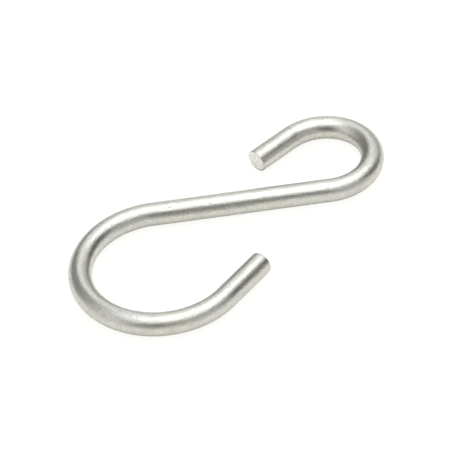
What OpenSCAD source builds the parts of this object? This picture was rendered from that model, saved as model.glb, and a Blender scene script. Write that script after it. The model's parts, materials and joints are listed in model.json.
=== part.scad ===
// Open S hook, bent from one length of round steel wire, lying flat.
// The shank runs along X. The small hook is at its +X end and the large hook at its -X end.
// The underside of the wire is at Z = 0, and the origin is below the middle of the hook's box.

/* [Wire] */
// Diameter of the straight wire
wire_d = 4.5; // [3:0.1:6]
// How much less the wire measures across in the bends, where bending stretched it
bend_thinning = 0.04; // [0.02:0.01:0.2]
// Width of the bevel round the rim of each cut end
end_bevel = 0.2; // [0.1:0.05:0.5]

/* [Shank] */
// Length of the straight wire between the two bends
shank_len = 34.3; // [20:0.1:60]

/* [Small hook] */
// Diameter of the space inside the small bend
small_inner_d = 14.2; // [10:0.1:24]
// Angle that the wire turns through in the small bend
small_wrap = 217; // [180:1:225]
// Length of the straight tail that ends the small hook, with its bevel
small_tail = 9.3; // [4:0.1:12]

/* [Large hook] */
// Diameter of the space inside the large bend
large_inner_d = 25.9; // [16:0.1:40]
// Angle that the wire turns through in the large bend
large_wrap = 226.5; // [180:0.5:230]
// Length of the straight tail that ends the large hook, with its bevel
large_tail = 11.2; // [4:0.1:16]

/* [Hidden] */

wire_r = wire_d / 2;
bent_d = wire_d - bend_thinning;
small_bend_r = (small_inner_d + bent_d) / 2;
large_bend_r = (large_inner_d + bent_d) / 2;

// Middle of the hook's box, measured from the large hook's end of the shank
middle_x = (shank_len + small_bend_r - large_bend_r) / 2;
middle_y = small_bend_r - large_bend_r;

// Angle by which each bend runs on inside the straight wire at both its ends
bend_overlap = 0.4;

$fn = 96;

// Straight wire that leaves the origin along +X
module shank() {
    rotate([0, 90, 0])
        cylinder(d = wire_d, h = shank_len);
}

// Straight wire that leaves the origin along +X and ends in a cut face with a bevelled rim
module tail(length) {
    straight = length - end_bevel;
    rotate([0, 90, 0]) {
        cylinder(d = wire_d, h = straight);
        translate([0, 0, straight])
            cylinder(r1 = wire_r, r2 = wire_r - end_bevel, h = end_bevel);
    }
}

// Bent wire that turns left round the origin, from straight below it
module bend(bend_r, wrap) {
    rotate([0, 0, -90 - bend_overlap])
        rotate_extrude(angle = wrap + 2 * bend_overlap)
            translate([bend_r, 0])
                circle(d = bent_d);
}

// One hook: the wire leaves the origin along +X, turns left and ends in its tail
module hook(bend_r, wrap, tail_len) {
    translate([0, bend_r, 0]) {
        bend(bend_r, wrap);
        rotate([0, 0, wrap])
            translate([0, -bend_r, 0])
                tail(tail_len);
    }
}

module s_hook() {
    color("silver")
        translate([-middle_x, -middle_y, wire_r]) {
            shank();
            translate([shank_len, 0, 0])
                hook(small_bend_r, small_wrap, small_tail);
            rotate([0, 0, 180])
                hook(large_bend_r, large_wrap, large_tail);
        }
}

s_hook();
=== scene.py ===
import json
import math

import bpy
from mathutils import Matrix, Vector, noise


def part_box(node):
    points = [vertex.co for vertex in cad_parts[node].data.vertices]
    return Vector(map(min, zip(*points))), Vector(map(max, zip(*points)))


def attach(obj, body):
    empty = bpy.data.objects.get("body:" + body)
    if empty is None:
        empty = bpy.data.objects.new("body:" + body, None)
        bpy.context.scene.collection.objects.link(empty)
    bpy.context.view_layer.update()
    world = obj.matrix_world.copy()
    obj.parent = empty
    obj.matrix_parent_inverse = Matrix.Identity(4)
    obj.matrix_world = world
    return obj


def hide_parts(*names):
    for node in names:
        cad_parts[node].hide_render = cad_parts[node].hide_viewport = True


# The S hook lies flat on the floor. A finer sweep of the same bent wire replaces its one CAD node, s_hook.
# The wire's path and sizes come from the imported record's mounts and the node's box. Lengths are in metres.

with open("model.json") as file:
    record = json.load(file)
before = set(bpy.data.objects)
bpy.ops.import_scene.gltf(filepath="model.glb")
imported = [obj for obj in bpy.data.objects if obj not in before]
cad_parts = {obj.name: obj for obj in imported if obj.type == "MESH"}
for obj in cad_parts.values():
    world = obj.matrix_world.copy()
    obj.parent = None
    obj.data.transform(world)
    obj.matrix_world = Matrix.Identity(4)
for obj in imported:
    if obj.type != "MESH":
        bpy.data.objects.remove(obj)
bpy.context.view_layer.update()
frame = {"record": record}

MM = 0.001
NODE = "s_hook"

# Wire
BEVEL = 0.2 * MM  # from the end of a mount's wall to the cut face, as in the CAD
RING_GAP = 0.3 * MM
SIDES = 96
SETTLE = 1.6 * MM  # length over which the straight wire's section turns into the bent one
WAVE_LEAST = 0.002 * MM  # the drawn surface lies at least this far below its true round
WAVE_DEPTH = 0.024 * MM  # and dips by up to this much more
WAVE_LENGTH = 2.4 * MM
WAVE_STRETCH = 0.3  # the waves are this many times as frequent along the wire as round it

# Cut ends. The shear left a rim of uneven radius: its largest is where the edge was rolled over.
RIM_SMALLEST = 0.12 * MM
RIM_LARGEST = 0.58 * MM
RIM_ROLLED_AT = math.radians(-75)  # round the wire, from across the hook's plane (0) towards up (90)
RIM_STEPS = 6
CUT_RINGS = 14
CUT_DEPTH = 0.03 * MM
CUT_GRAIN = 0.5 * MM
CUT_FLAT_EDGE = 1 / 3  # the torn metal fades out over this outer share of the cut face's radius

# Baking
STRIPS = 3  # the wire's surface is laid out in this many strips side by side
MARGIN = 1.0 * MM  # left free round each of them

# Plating
ZINC_WARM = (0.65, 0.643, 0.59)
ZINC_COOL = (0.65, 0.655, 0.63)
ZINC_DULL = (0.47, 0.468, 0.435)
ZINC_PIT = (0.16, 0.155, 0.14)
# painted shade: the near-black colour that the rolled side of each cut end's rim is turned towards, standing
# in for the shade and dark reflection there
ZINC_EDGE_PAINTED_SHADE = (0.13, 0.125, 0.115)
CUT_PALE = (0.86, 0.86, 0.83)
CUT_GREY = (0.68, 0.68, 0.65)

# How far each pattern turns the colour towards the dull zinc or the pits' dark, from 0 to 1
BLOTCHES_DULL = 0.4
GRAIN_DULL = 0.65
LINES_DULL = 0.4
PITS_DARK = 0.7
SPECKS_DARK = 0.8

# Roughness between the smoothest and the roughest blotches, and what is added to it
ZINC_ROUGHNESS = (0.23, 0.34)
STRETCHED_ROUGHER = 0.05
PITS_ROUGHER = 0.2
CUT_ROUGHNESS = (0.42, 0.6)

# Relief: its depth, and each pattern's share of it
ZINC_RELIEF = 0.045 * MM
CUT_RELIEF = 0.08 * MM
LINES_RISE = 0.3
GRAIN_RISE = 0.6
STRETCHED_RISE = 0.8
DIMPLES_RISE = 0.7
PITS_SINK = 0.4

# Light. The room is even light, and what stands in it adds to that light or takes some away.
ROOM_LIGHT = 0.92
# Each: azimuth from +X towards +Y, elevation, light added, and how far from its middle it is still at
# full strength and how far from its middle it ends. Angles are in degrees.
LIGHTS = {
    "soft box overhead": (0, 80, 1.2, 25, 40),
    "window behind": (65, 35, 1.0, 5, 45),
    "dark camera side": (-110, 25, -0.75, 0, 35),
    "dark wall on the right": (30, 15, -0.8, 15, 60),
    "dark wall on the left": (110, 10, -0.65, 25, 80),
    "dark room in front": (-45, 40, -0.4, 0, 50),
}
DIMMEST = 0.05  # no direction is darker than this
BACKDROP = 1.0  # the room as the camera sees it
LOW_TINT = (1.0, 0.985, 0.945)  # of the light that comes from near the floor
LOW_BELOW = 0.6  # how far up it reaches, as the sine of the elevation
FLOOR_LIT = {"colour": (0.95, 0.938, 0.9), "glow": 0.16}  # as the hook sees the floor
FLOOR_SHOWN = {"colour": (0.16, 0.16, 0.155), "glow": 0.9}  # and as the camera does
FLOOR_WARMTH = (1.0, 0.995, 0.97)  # colour of its glow
FLOOR_SIZE = 8.0

# Camera
AZIMUTH = math.radians(-2.74)
ELEVATION = math.radians(42.11)
ROLL = math.radians(-5.86)
CAMERA_DISTANCE = 0.5835
LENS = 245.5  # mm, for the sensor's width below
SENSOR = 36.0
CLIP_NEAR = 0.05
CLIP_FAR = 50.0
AIM = Vector((-0.00087, -0.00027, 0.00225))


# ---- path of the wire


def mount(name):
    """A mount's place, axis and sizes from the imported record, in metres."""
    m = next(m for m in frame["record"]["mounts"] if m["name"] == name)
    sizes = {key: value * MM for key, value in m["dims"].items()}
    return Vector(m["pos_m"]), Vector(m["axis"]).normalized(), sizes


class Wire:
    """The wire's centreline, from the small tip to the large tip, as stretches of one curvature each."""

    def __init__(self):
        low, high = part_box(NODE)
        small_at, small_axis, small_tip = mount("small_tip")
        _, large_axis, large_tip = mount("large_tip")
        small_centre, _, small_seat = mount("small_hook_seat")
        large_centre, _, large_seat = mount("large_hook_seat")
        small_outer, small_inner = high.x - small_centre.x, small_seat["r_mm"]
        large_outer, large_inner = large_centre.x - low.x, large_seat["r_mm"]
        small_r = (small_outer + small_inner) / 2
        large_r = (large_outer + large_inner) / 2
        self.radius = small_tip["r_mm"]
        self.bent_radius = (small_outer - small_inner) / 2
        self.heading = math.atan2(-small_axis.y, -small_axis.x)
        self.start = small_at + small_axis * (small_tip["length_mm"] / 2 + BEVEL)
        small_turn = math.pi + self.heading
        large_turn = math.pi + math.atan2(large_axis.y, large_axis.x)
        self.stretches = [
            (small_tip["length_mm"] + BEVEL, 0.0),
            (small_r * small_turn, -1 / small_r),
            (small_centre.x - large_centre.x, 0.0),
            (large_r * large_turn, 1 / large_r),
            (large_tip["length_mm"] + BEVEL, 0.0),
        ]
        self.length = sum(length for length, _ in self.stretches)

    def at(self, along):
        """The centreline's point and heading, that far along the wire."""
        point, heading = self.start.copy(), self.heading
        for length, curvature in self.stretches:
            step = min(length, along)
            turn = curvature * step
            chord = 2 * math.sin(turn / 2) / curvature if turn else step
            middle = heading + turn / 2
            point += Vector((math.cos(middle), math.sin(middle), 0)) * chord
            heading += turn
            along -= step
            if along <= 0:
                break
        return point, heading

    def bent(self, along):
        """How bent the wire is there, from 0 in straight wire to 1 in a bend, and which side is outside."""
        share, outside, begin = 0.0, 1, 0.0
        for length, curvature in self.stretches:
            inside = min(along - begin, begin + length - along)
            if curvature and inside > -SETTLE:
                t = min(max(inside / SETTLE + 0.5, 0), 1)
                share, outside = t * t * (3 - 2 * t), -math.copysign(1, curvature)
            begin += length
        return share, outside


# ---- mesh


def wave(along, angle, radius):
    """How far the drawn surface lies below its true round there."""
    place = Vector((along * WAVE_STRETCH, radius * math.cos(angle), radius * math.sin(angle)))
    return WAVE_LEAST + WAVE_DEPTH * (0.5 + 0.5 * noise.noise(place / WAVE_LENGTH))


def rolled(angle):
    """How far the shear rolled the edge of a cut end there, from 0 to 1 on one side of its underside. It
    also sets how much painted shade that side of the rim gets.
    """
    return (0.5 + 0.5 * math.cos(angle - RIM_ROLLED_AT)) ** 2


def rim(angle):
    """Radius of the edge round a cut end there."""
    return RIM_SMALLEST + (RIM_LARGEST - RIM_SMALLEST) * rolled(angle)


def grain(along, x, y):
    """How far the torn metal of a cut face lies below its plane there."""
    return CUT_DEPTH * (0.5 + 0.5 * noise.fractal(Vector((x, y, along)) / CUT_GRAIN, 0.8, 2.0, 3))


ANGLES = [2 * math.pi * k / SIDES for k in range(SIDES)]


def body_ring(wire, along):
    """Points round the wire: (distance along, across the hook's plane, up), from the centreline."""
    across = wire.radius + (wire.bent_radius - wire.radius) * wire.bent(along)[0]
    out = []
    for angle in ANGLES:
        dip = wave(along, angle, wire.radius)
        out.append((along, (across - dip) * math.cos(angle), (wire.radius - dip) * math.sin(angle)))
    return out


def end_rings(wire, tip, inward):
    """Rings of one cut end, from near the middle of its face out over the rim. inward is 1 or -1."""
    rings = []
    for step in range(1, CUT_RINGS + 1):
        share = step / CUT_RINGS
        flat = []
        for angle in ANGLES:
            radius = (wire.radius - wave(tip, angle, wire.radius) - rim(angle)) * share
            x, y = radius * math.cos(angle), radius * math.sin(angle)
            fade = min(1, (1 - share) / CUT_FLAT_EDGE)
            flat.append((tip + inward * grain(tip, x, y) * fade, x, y))
        rings.append(flat)
    for step in range(1, RIM_STEPS + 1):
        bow = math.pi / 2 * step / RIM_STEPS
        curved = []
        for angle in ANGLES:
            edge = rim(angle)
            radius = wire.radius - wave(tip, angle, wire.radius) - edge * (1 - math.sin(bow))
            along = tip + inward * edge * (1 - math.cos(bow))
            curved.append((along, radius * math.cos(angle), radius * math.sin(angle)))
        rings.append(curved)
    return rings


def wire_rings(wire):
    """All rings from the middle of one cut face to the middle of the other."""
    begin = RIM_LARGEST + RING_GAP
    count = round((wire.length - 2 * begin) / RING_GAP)
    gap = (wire.length - 2 * begin) / count
    body = [body_ring(wire, begin + gap * i) for i in range(count + 1)]
    return end_rings(wire, 0.0, 1) + body + end_rings(wire, wire.length, -1)[::-1]


def place(wire, spot):
    """Where a point of a ring is in the row's frame."""
    along, across, up = spot
    point, heading = wire.at(min(max(along, 0), wire.length))
    return point + Vector((-math.sin(heading) * across, math.cos(heading) * across, up))


def layout(wire):
    """The run of wire in one strip, and where points of the body and of the cut ends go in the bake map."""
    run = wire.length / STRIPS
    pitch = 2 * math.pi * wire.radius + MARGIN
    size = max(run + MARGIN * 2, STRIPS * pitch + 2 * wire.radius + MARGIN * 2)

    def on_body(along, share, strip):
        round_wire = strip * pitch + (pitch - MARGIN) * share
        return (MARGIN + along - strip * run) / size, (MARGIN + round_wire) / size

    def on_cut(across, up, number):
        middle = MARGIN + wire.radius + number * (2 * wire.radius + MARGIN)
        height = STRIPS * pitch + MARGIN + wire.radius
        return (middle + across) / size, (height + up) / size

    return run, on_body, on_cut


def keep(mesh, name, kind, field, numbers):
    """Stores numbers on the mesh's points, for its materials to read."""
    mesh.attributes.new(name, kind, "POINT").data.foreach_set(field, numbers)


def skin(rings, near, far):
    """Faces over the rings and, by their side, the cut end that each is on: 0, 1, or None on the body."""
    faces, ends = [], []
    top = (len(rings) - 1) * SIDES
    for k in range(SIDES):
        faces.append((near, (k + 1) % SIDES, k))
        ends.append(0)
    for i in range(len(rings) - 1):
        end = None
        if i < CUT_RINGS - 1:
            end = 0
        elif i >= len(rings) - CUT_RINGS:
            end = 1
        for k in range(SIDES):
            a, b = i * SIDES + k, i * SIDES + (k + 1) % SIDES
            faces.append((a, b, b + SIDES, a + SIDES))
            ends.append(end)
    for k in range(SIDES):
        faces.append((far, top + k, top + (k + 1) % SIDES))
        ends.append(1)
    return faces, ends


def lay_out(mesh, wire, spots, ends):
    """Gives the mesh its bake map, and its cut ends their material."""
    run, on_body, on_cut = layout(wire)
    bake_map = mesh.uv_layers.new(name="OFBake")
    for face, end in zip(mesh.polygons, ends):
        face.use_smooth = True
        corners = list(face.vertices)
        if end is not None:
            face.material_index = 1
            places = [on_cut(*spots[v][1:], end) for v in corners]
        else:
            middle = sum(spots[v][0] for v in corners) / len(corners)
            strip = min(int(middle / run), STRIPS - 1)
            steps = [v % SIDES for v in corners]
            # The last face round ends where the first begins, but on the strip's other side
            seam = SIDES if max(steps) == SIDES - 1 else 0
            places = [on_body(spots[v][0], (k or seam) / SIDES, strip) for v, k in zip(corners, steps)]
        for loop, uv in zip(face.loop_indices, places):
            bake_map.data[loop].uv = uv


def mark(mesh, wire, spots, ring_count):
    """Stores what the materials read: each point's place along the wire, stretching, and the rolled rim,
    where the plating's colour is darkened with painted shade.
    """
    keep(mesh, "along_wire", "FLOAT_VECTOR", "vector", [x / MM for spot in spots for x in spot])
    stretched = []
    for along, across, _ in spots:
        share, outside = wire.bent(along)
        stretched.append(share * max(0, outside * across / wire.radius))
    keep(mesh, "stretched", "FLOAT", "value", stretched)
    # the rolled side of the rim, which the plating's colour darkens with painted shade
    edge = [0.0] * len(spots)
    for step in range(RIM_STEPS):
        for ring in (CUT_RINGS + step, ring_count - CUT_RINGS - 1 - step):
            for k, angle in enumerate(ANGLES):
                edge[ring * SIDES + k] = rolled(angle)
    keep(mesh, "rolled", "FLOAT", "value", edge)


def wire_mesh(wire):
    """The swept wire as one closed mesh."""
    rings = wire_rings(wire)
    spots = [spot for ring in rings for spot in ring]
    near, far = len(spots), len(spots) + 1
    spots += [(0.0, 0.0, 0.0), (wire.length, 0.0, 0.0)]
    faces, ends = skin(rings, near, far)
    mesh = bpy.data.meshes.new("bent_wire")
    mesh.from_pydata([place(wire, spot) for spot in spots], [], faces)
    mesh.update()
    lay_out(mesh, wire, spots, ends)
    mark(mesh, wire, spots, len(rings))
    return mesh


# ---- materials


class Shading:
    """Builds one material round its Principled shader, from patterns in millimetres along the wire."""

    def __init__(self, name):
        self.material = bpy.data.materials.new(name)
        self.material.use_nodes = True
        tree = self.material.node_tree
        self.nodes, self.links = tree.nodes, tree.links
        self.shader = tree.nodes["Principled BSDF"]
        self.place = self.attribute("along_wire").outputs["Vector"]

    def attribute(self, name):
        """Reads what the mesh's points hold under that name."""
        node = self.nodes.new("ShaderNodeAttribute")
        node.attribute_name = name
        return node

    def noise(self, size, detail=2.0, rough=0.5, along=1.0, offset=0.0):
        """Noise of that size in mm, drawn out by the factor along the wire."""
        mapping = self.nodes.new("ShaderNodeMapping")
        mapping.inputs["Scale"].default_value = (1 / (size * along), 1 / size, 1 / size)
        mapping.inputs["Location"].default_value = (offset, offset, offset)
        node = self.nodes.new("ShaderNodeTexNoise")
        node.inputs["Scale"].default_value = 1.0
        node.inputs["Detail"].default_value = detail
        node.inputs["Roughness"].default_value = rough
        self.links.new(self.place, mapping.inputs["Vector"])
        self.links.new(mapping.outputs["Vector"], node.inputs["Vector"])
        return node.outputs["Fac"]

    def fit(self, value, low, high, to_low=0.0, to_high=1.0):
        """The value, taken from low..high to to_low..to_high and held there beyond."""
        node = self.nodes.new("ShaderNodeMapRange")
        for key, number in zip(("From Min", "From Max", "To Min", "To Max"), (low, high, to_low, to_high)):
            node.inputs[key].default_value = number
        self.links.new(value, node.inputs["Value"])
        return node.outputs["Result"]

    def maths(self, operation, a, b):
        """The operation on two values or plain numbers."""
        node = self.nodes.new("ShaderNodeMath")
        node.operation = operation
        for socket, value in zip(node.inputs, (a, b)):
            if isinstance(value, float):
                socket.default_value = value
            else:
                self.links.new(value, socket)
        return node.outputs[0]

    def mix(self, share, a, b):
        """One colour turning into another."""
        node = self.nodes.new("ShaderNodeMix")
        node.data_type = "RGBA"
        self.links.new(share, node.inputs["Factor"])
        for socket, value in zip((node.inputs[6], node.inputs[7]), (a, b)):
            if isinstance(value, tuple):
                socket.default_value = (*value, 1)
            else:
                self.links.new(value, socket)
        return node.outputs[2]

    def bump(self, height, depth):
        """Relief of that depth, in metres."""
        node = self.nodes.new("ShaderNodeBump")
        node.inputs["Distance"].default_value = depth
        self.links.new(height, node.inputs["Height"])
        self.links.new(node.outputs["Normal"], self.shader.inputs["Normal"])

    def set(self, name, value):
        """Sets one of the shader's inputs to a plain number or to a worked-out value."""
        if isinstance(value, (int, float)):
            self.shader.inputs[name].default_value = value
        else:
            self.links.new(value, self.shader.inputs[name])


def plated_wire():
    """Bright zinc on drawn wire: lines along it, a fine grain, blotches, and pits that took the zinc badly.

    The bends' outsides, which were stretched, are rougher. The rolled side of each cut end's rim is darkened
    with painted shade.
    """
    look = Shading("bright_zinc_plating")
    lines = look.noise(0.22, detail=3, rough=0.6, along=14)
    grain = look.noise(0.3, detail=3, rough=0.65, along=1.2)
    dimples = look.noise(1.0, detail=2, rough=0.5, along=2.0, offset=11)
    blotches = look.noise(1.2, detail=4, rough=0.65, along=1.8, offset=7)
    tint = look.noise(5.0, detail=3, rough=0.6, along=1.5, offset=19)
    pits = look.fit(look.noise(0.36, detail=1, along=1.6, offset=31), 0.74, 0.78)
    stretched = look.attribute("stretched").outputs["Fac"]
    rim_painted_shade = look.attribute("rolled").outputs["Fac"]

    clean = look.mix(look.fit(tint, 0.4, 0.6), ZINC_COOL, ZINC_WARM)
    dull = look.mix(look.fit(blotches, 0.42, 0.7, 0.0, BLOTCHES_DULL), clean, ZINC_DULL)
    grained = look.mix(look.fit(grain, 0.5, 0.6, 0.0, GRAIN_DULL), dull, ZINC_DULL)
    streaky = look.mix(look.fit(lines, 0.5, 0.8, 0.0, LINES_DULL), grained, ZINC_DULL)
    pitted = look.mix(look.maths("MULTIPLY", pits, PITS_DARK), streaky, ZINC_PIT)
    # painted shade: the rolled side of each cut end's rim is darkened towards near-black zinc, standing in
    # for the shade and dark reflection there
    look.set("Base Color", look.mix(rim_painted_shade, pitted, ZINC_EDGE_PAINTED_SHADE))
    look.set("Metallic", 1.0)

    rough = look.fit(blotches, 0.3, 0.7, *ZINC_ROUGHNESS)
    rough = look.maths("ADD", rough, look.maths("MULTIPLY", stretched, STRETCHED_ROUGHER))
    look.set("Roughness", look.maths("ADD", rough, look.maths("MULTIPLY", pits, PITS_ROUGHER)))

    stretched_grain = look.maths("MULTIPLY", grain, stretched)
    relief = look.maths("MULTIPLY", lines, LINES_RISE)
    relief = look.maths("ADD", relief, look.maths("MULTIPLY", grain, GRAIN_RISE))
    relief = look.maths("ADD", relief, look.maths("MULTIPLY", stretched_grain, STRETCHED_RISE))
    relief = look.maths("ADD", relief, look.maths("MULTIPLY", dimples, DIMPLES_RISE))
    relief = look.maths("SUBTRACT", relief, look.maths("MULTIPLY", pits, PITS_SINK))
    look.bump(relief, ZINC_RELIEF)
    return look.material


def cut_metal():
    """The sheared end under the same plating: matte, torn and specked."""
    look = Shading("sheared_zinc_plated_end")
    torn = look.noise(0.6, detail=4, rough=0.7, offset=3)
    specks = look.fit(look.noise(0.34, detail=1, offset=43), 0.66, 0.7)
    pale = look.mix(look.fit(torn, 0.42, 0.68), CUT_PALE, CUT_GREY)
    look.set("Base Color", look.mix(look.maths("MULTIPLY", specks, SPECKS_DARK), pale, ZINC_PIT))
    look.set("Metallic", 1.0)
    look.set("Roughness", look.fit(torn, 0.3, 0.7, *CUT_ROUGHNESS))
    look.bump(look.maths("SUBTRACT", torn, specks), CUT_RELIEF)
    return look.material


# ---- studio


def floor():
    """A white floor. The camera sees it glow, with a faint shadow, and the hook sees it lit by the room."""
    bpy.ops.mesh.primitive_plane_add(size=FLOOR_SIZE, location=(0, 0, 0))
    plane = bpy.context.object
    plane.name = "floor"
    material = bpy.data.materials.new("pale_floor")
    material.use_nodes = True
    nodes, links = material.node_tree.nodes, material.node_tree.links
    shader = nodes["Principled BSDF"]
    shader.inputs["Roughness"].default_value = 1.0
    shader.inputs["Specular IOR Level"].default_value = 0.0
    shader.inputs["Emission Color"].default_value = (*FLOOR_WARMTH, 1)
    seen = nodes.new("ShaderNodeLightPath").outputs["Is Camera Ray"]
    colour = nodes.new("ShaderNodeMix")
    colour.data_type = "RGBA"
    colour.inputs[6].default_value = (*FLOOR_LIT["colour"], 1)
    colour.inputs[7].default_value = (*FLOOR_SHOWN["colour"], 1)
    links.new(seen, colour.inputs["Factor"])
    links.new(colour.outputs[2], shader.inputs["Base Color"])
    glow = nodes.new("ShaderNodeMapRange")
    glow.inputs["To Min"].default_value = FLOOR_LIT["glow"]
    glow.inputs["To Max"].default_value = FLOOR_SHOWN["glow"]
    links.new(seen, glow.inputs["Value"])
    links.new(glow.outputs["Result"], shader.inputs["Emission Strength"])
    plane.data.materials.append(material)


def direction(azimuth, elevation):
    """The unit vector that points there. Degrees: azimuth from +X towards +Y, elevation from the floor."""
    turn, lift = math.radians(azimuth), math.radians(elevation)
    return Vector((math.cos(turn) * math.cos(lift), math.sin(turn) * math.cos(lift), math.sin(lift)))


def studio_light():
    """One world shader: LIGHTS in a room of even light, warmer low down. The camera sees it plain white."""
    world = bpy.data.worlds.new("studio")
    bpy.context.scene.world = world
    world.use_nodes = True
    nodes, links = world.node_tree.nodes, world.node_tree.links
    nodes.clear()
    looking = nodes.new("ShaderNodeTexCoord").outputs["Generated"]
    total = None
    for azimuth, elevation, amount, full, ends in LIGHTS.values():
        towards = nodes.new("ShaderNodeVectorMath")
        towards.operation = "DOT_PRODUCT"
        towards.inputs[1].default_value = direction(azimuth, elevation)
        links.new(looking, towards.inputs[0])
        glow = nodes.new("ShaderNodeMapRange")
        glow.interpolation_type = "SMOOTHSTEP"
        glow.inputs["From Min"].default_value = math.cos(math.radians(ends))
        glow.inputs["From Max"].default_value = math.cos(math.radians(full))
        glow.inputs["To Min"].default_value = 0.0
        glow.inputs["To Max"].default_value = amount
        links.new(towards.outputs["Value"], glow.inputs["Value"])
        add = nodes.new("ShaderNodeMath")
        add.inputs[0].default_value = ROOM_LIGHT
        if total:
            links.new(total, add.inputs[0])
        links.new(glow.outputs["Result"], add.inputs[1])
        total = add.outputs[0]
    least = nodes.new("ShaderNodeMath")
    least.operation = "MAXIMUM"
    least.inputs[1].default_value = DIMMEST
    links.new(total, least.inputs[0])
    seen = nodes.new("ShaderNodeMix")
    seen.data_type = "FLOAT"
    seen.inputs["B"].default_value = BACKDROP
    links.new(least.outputs[0], seen.inputs["A"])
    by_camera = nodes.new("ShaderNodeLightPath").outputs["Is Camera Ray"]
    links.new(by_camera, seen.inputs["Factor"])
    height = nodes.new("ShaderNodeSeparateXYZ")
    links.new(looking, height.inputs[0])
    white = nodes.new("ShaderNodeMapRange")
    white.interpolation_type = "SMOOTHSTEP"
    white.inputs["From Max"].default_value = LOW_BELOW
    links.new(height.outputs["Z"], white.inputs["Value"])
    whiter = nodes.new("ShaderNodeMath")
    whiter.operation = "MAXIMUM"
    links.new(white.outputs["Result"], whiter.inputs[0])
    links.new(by_camera, whiter.inputs[1])
    tint = nodes.new("ShaderNodeMix")
    tint.data_type = "RGBA"
    tint.inputs[6].default_value = (*LOW_TINT, 1)
    tint.inputs[7].default_value = (1, 1, 1, 1)
    links.new(whiter.outputs[0], tint.inputs["Factor"])
    background = nodes.new("ShaderNodeBackground")
    links.new(tint.outputs[2], background.inputs["Color"])
    links.new(seen.outputs["Result"], background.inputs["Strength"])
    links.new(background.outputs[0], nodes.new("ShaderNodeOutputWorld").inputs["Surface"])


def camera():
    """The camera at the photo's viewing angle, rolled a little round its own axis."""
    back = Vector(
        (
            math.sin(AZIMUTH) * math.cos(ELEVATION),
            -math.cos(AZIMUTH) * math.cos(ELEVATION),
            math.sin(ELEVATION),
        )
    )
    level_right = Vector((0, 0, 1)).cross(back).normalized()
    level_up = back.cross(level_right)
    right = level_right * math.cos(ROLL) + level_up * math.sin(ROLL)
    up = back.cross(right)
    data = bpy.data.cameras.new("camera")
    data.lens, data.sensor_width = LENS, SENSOR
    data.clip_start, data.clip_end = CLIP_NEAR, CLIP_FAR
    eye = bpy.data.objects.new("camera", data)
    bpy.context.collection.objects.link(eye)
    turned = Matrix((right, up, back)).transposed().to_4x4()
    turned.translation = AIM + back * CAMERA_DISTANCE
    eye.matrix_world = turned
    bpy.context.scene.camera = eye


# ---- build

camera()
floor()
studio_light()
bpy.context.scene.view_settings.view_transform = "Standard"

wire = Wire()
hook = bpy.data.objects.new("bent_wire", wire_mesh(wire))
bpy.context.collection.objects.link(hook)
hook.data.materials.append(plated_wire())
hook.data.materials.append(cut_metal())
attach(hook, "root")
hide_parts(NODE)
